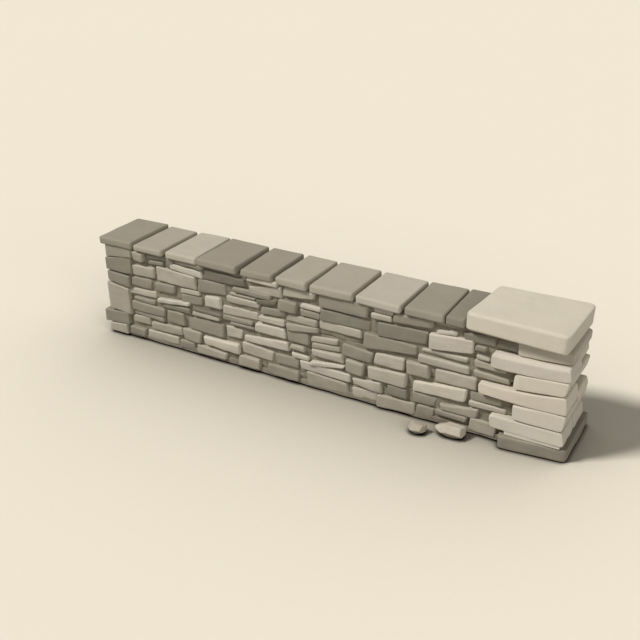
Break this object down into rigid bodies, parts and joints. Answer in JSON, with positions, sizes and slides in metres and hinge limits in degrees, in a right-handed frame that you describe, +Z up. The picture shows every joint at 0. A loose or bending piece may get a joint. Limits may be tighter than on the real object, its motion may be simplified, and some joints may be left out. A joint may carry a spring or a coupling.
{
  "type": "dry stone wall",
  "caption": "Free-standing dry stone garden wall with flat coping slabs, quoins at one end and a capped pier of pale dressed stone at the other.",
  "frame": {"origin": "on the ground, in the middle of the wall's length and thickness", "axes": "+X along the wall towards the pier, +Y towards the back face, +Z up"},
  "size_m": [4.58, 0.861, 1.09],
  "materials": {
    "rubble_stone": "rough split face, slightly weathered",
    "coping_stone": "sawn and worn top, softened edges",
    "pier_stone": "pale dressed stone, softened edges",
    "plinth_stone": "grey dressed stone, softened edges",
    "quoin_stone": "dressed stone, softened edges",
    "hearting_stone": "packed broken stone, in shadow",
    "fallen_stone": "broken faces"
  },
  "bodies": {
    "root": {"back_face_lower": "rubble_stone", "back_face_upper": "rubble_stone", "coping_slab_01": "coping_stone", "coping_slab_02": "coping_stone", "coping_slab_03": "coping_stone", "coping_slab_04": "coping_stone", "coping_slab_05": "coping_stone", "coping_slab_06": "coping_stone", "coping_slab_07": "coping_stone", "coping_slab_08": "coping_stone", "coping_slab_09": "coping_stone", "coping_slab_10": "coping_stone", "end_quoin_1": "quoin_stone", "end_quoin_2": "quoin_stone", "end_quoin_3": "quoin_stone", "end_quoin_4": "quoin_stone", "end_quoin_5": "quoin_stone", "end_quoin_6": "quoin_stone", "fallen_stone_large": "fallen_stone", "fallen_stone_small": "fallen_stone", "front_face_lower": "rubble_stone", "front_face_upper": "rubble_stone", "hearting": "hearting_stone", "pier_cap": "pier_stone", "pier_course_1": "pier_stone", "pier_course_2": "pier_stone", "pier_course_3": "pier_stone", "pier_course_4": "pier_stone", "pier_course_5": "pier_stone", "pier_course_6": "pier_stone", "pier_course_7": "pier_stone", "pier_plinth": "plinth_stone"}
  },
  "joints": []
}
